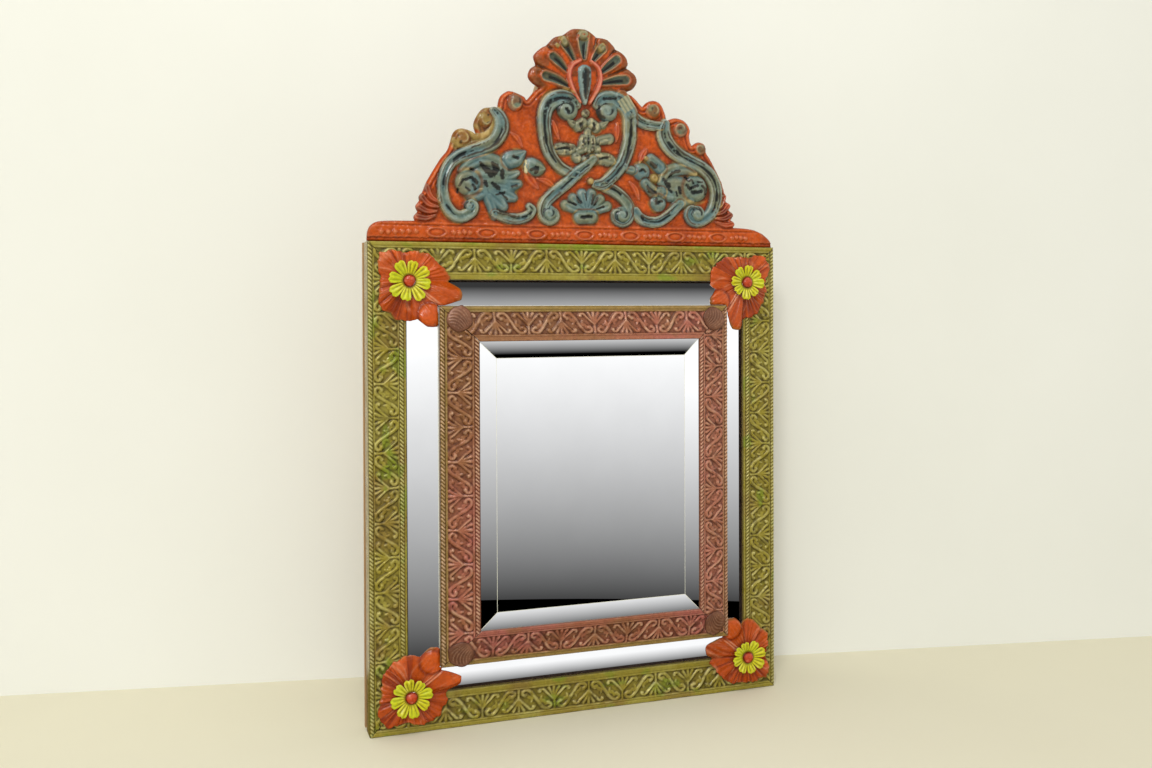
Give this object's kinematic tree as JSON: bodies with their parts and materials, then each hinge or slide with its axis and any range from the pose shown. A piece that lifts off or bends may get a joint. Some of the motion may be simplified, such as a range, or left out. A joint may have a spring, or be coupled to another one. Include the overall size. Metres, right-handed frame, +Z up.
{
  "type": "wall mirror",
  "caption": "Wall mirror in an embossed, painted metal frame with canted mirror margins, corner leaves and flowers, a scrolled crest and a swinging hanging ring.",
  "frame": {"origin": "on the wall plane at the centre of the back panel, behind the middle of the frame", "axes": "+X to the viewer's right, +Y into the wall, +Z up; the mirror faces -Y"},
  "size_m": [0.35, 0.0518, 0.5571],
  "materials": {
    "stained_wood": "dark stained softwood",
    "bare_pine": "bare planed pine",
    "mirror_glass": "silvered, polished",
    "olive_metal": "glossy olive lacquer over embossed sheet",
    "maroon_metal": "glossy maroon lacquer over embossed sheet",
    "orange_metal": "orange ground with blue-grey scrolls on embossed sheet",
    "red_metal": "glossy red-orange lacquer over cut sheet",
    "yellow_metal": "glossy yellow lacquer over cut sheet",
    "red_pin": "glossy red lacquer",
    "brass": "dull brass",
    "steel": "plain steel"
  },
  "bodies": {
    "frame": {"back_panel": "bare_pine", "back_screw_bottom_left": "steel", "back_screw_bottom_right": "steel", "back_screw_left": "steel", "back_screw_right": "steel", "back_screw_top_left": "steel", "back_screw_top_right": "steel", "backing_spacer_lower": "bare_pine", "backing_spacer_upper": "bare_pine", "batten_screw_lower_left": "steel", "batten_screw_lower_right": "steel", "batten_screw_upper_left": "steel", "batten_screw_upper_right": "steel", "centre_mirror": "mirror_glass", "corner_boss_bottom_left": "maroon_metal", "corner_boss_bottom_right": "maroon_metal", "corner_boss_top_left": "maroon_metal", "corner_boss_top_right": "maroon_metal", "corner_flower_bottom_left": "yellow_metal", "corner_flower_bottom_right": "yellow_metal", "corner_flower_top_left": "yellow_metal", "corner_flower_top_right": "yellow_metal", "corner_leaf_bottom_left": "red_metal", "corner_leaf_bottom_right": "red_metal", "corner_leaf_top_left": "red_metal", "corner_leaf_top_right": "red_metal", "crest_batten_left": "bare_pine", "crest_batten_right": "bare_pine", "crest_board": "bare_pine", "crest_plate": "orange_metal", "flower_pin_bottom_left": "red_pin", "flower_pin_bottom_right": "red_pin", "flower_pin_top_left": "red_pin", "flower_pin_top_right": "red_pin", "hanger_plate": "brass", "hanger_screw_left": "steel", "hanger_screw_right": "steel", "inner_rail_bottom": "stained_wood", "inner_rail_left": "stained_wood", "inner_rail_right": "stained_wood", "inner_rail_top": "stained_wood", "inner_strip_bottom": "maroon_metal", "inner_strip_left": "maroon_metal", "inner_strip_right": "maroon_metal", "inner_strip_top": "maroon_metal", "margin_mirror_bottom": "mirror_glass", "margin_mirror_left": "mirror_glass", "margin_mirror_right": "mirror_glass", "margin_mirror_top": "mirror_glass", "mirror_backing": "bare_pine", "outer_rail_bottom": "stained_wood", "outer_rail_left": "stained_wood", "outer_rail_right": "stained_wood", "outer_rail_top": "stained_wood", "outer_strip_bottom": "olive_metal", "outer_strip_left": "olive_metal", "outer_strip_right": "olive_metal", "outer_strip_top": "olive_metal"},
    "hanger_ring": {"hanger_ring": "brass"}
  },
  "joints": [
    {"name": "hanger_ring_swing", "type": "hinge", "parent": "frame", "child": "hanger_ring", "pos_m": [0, -0.0075, 0.2248], "axis": [1, 0, 0], "range_deg": [0, 180]}
  ]
}
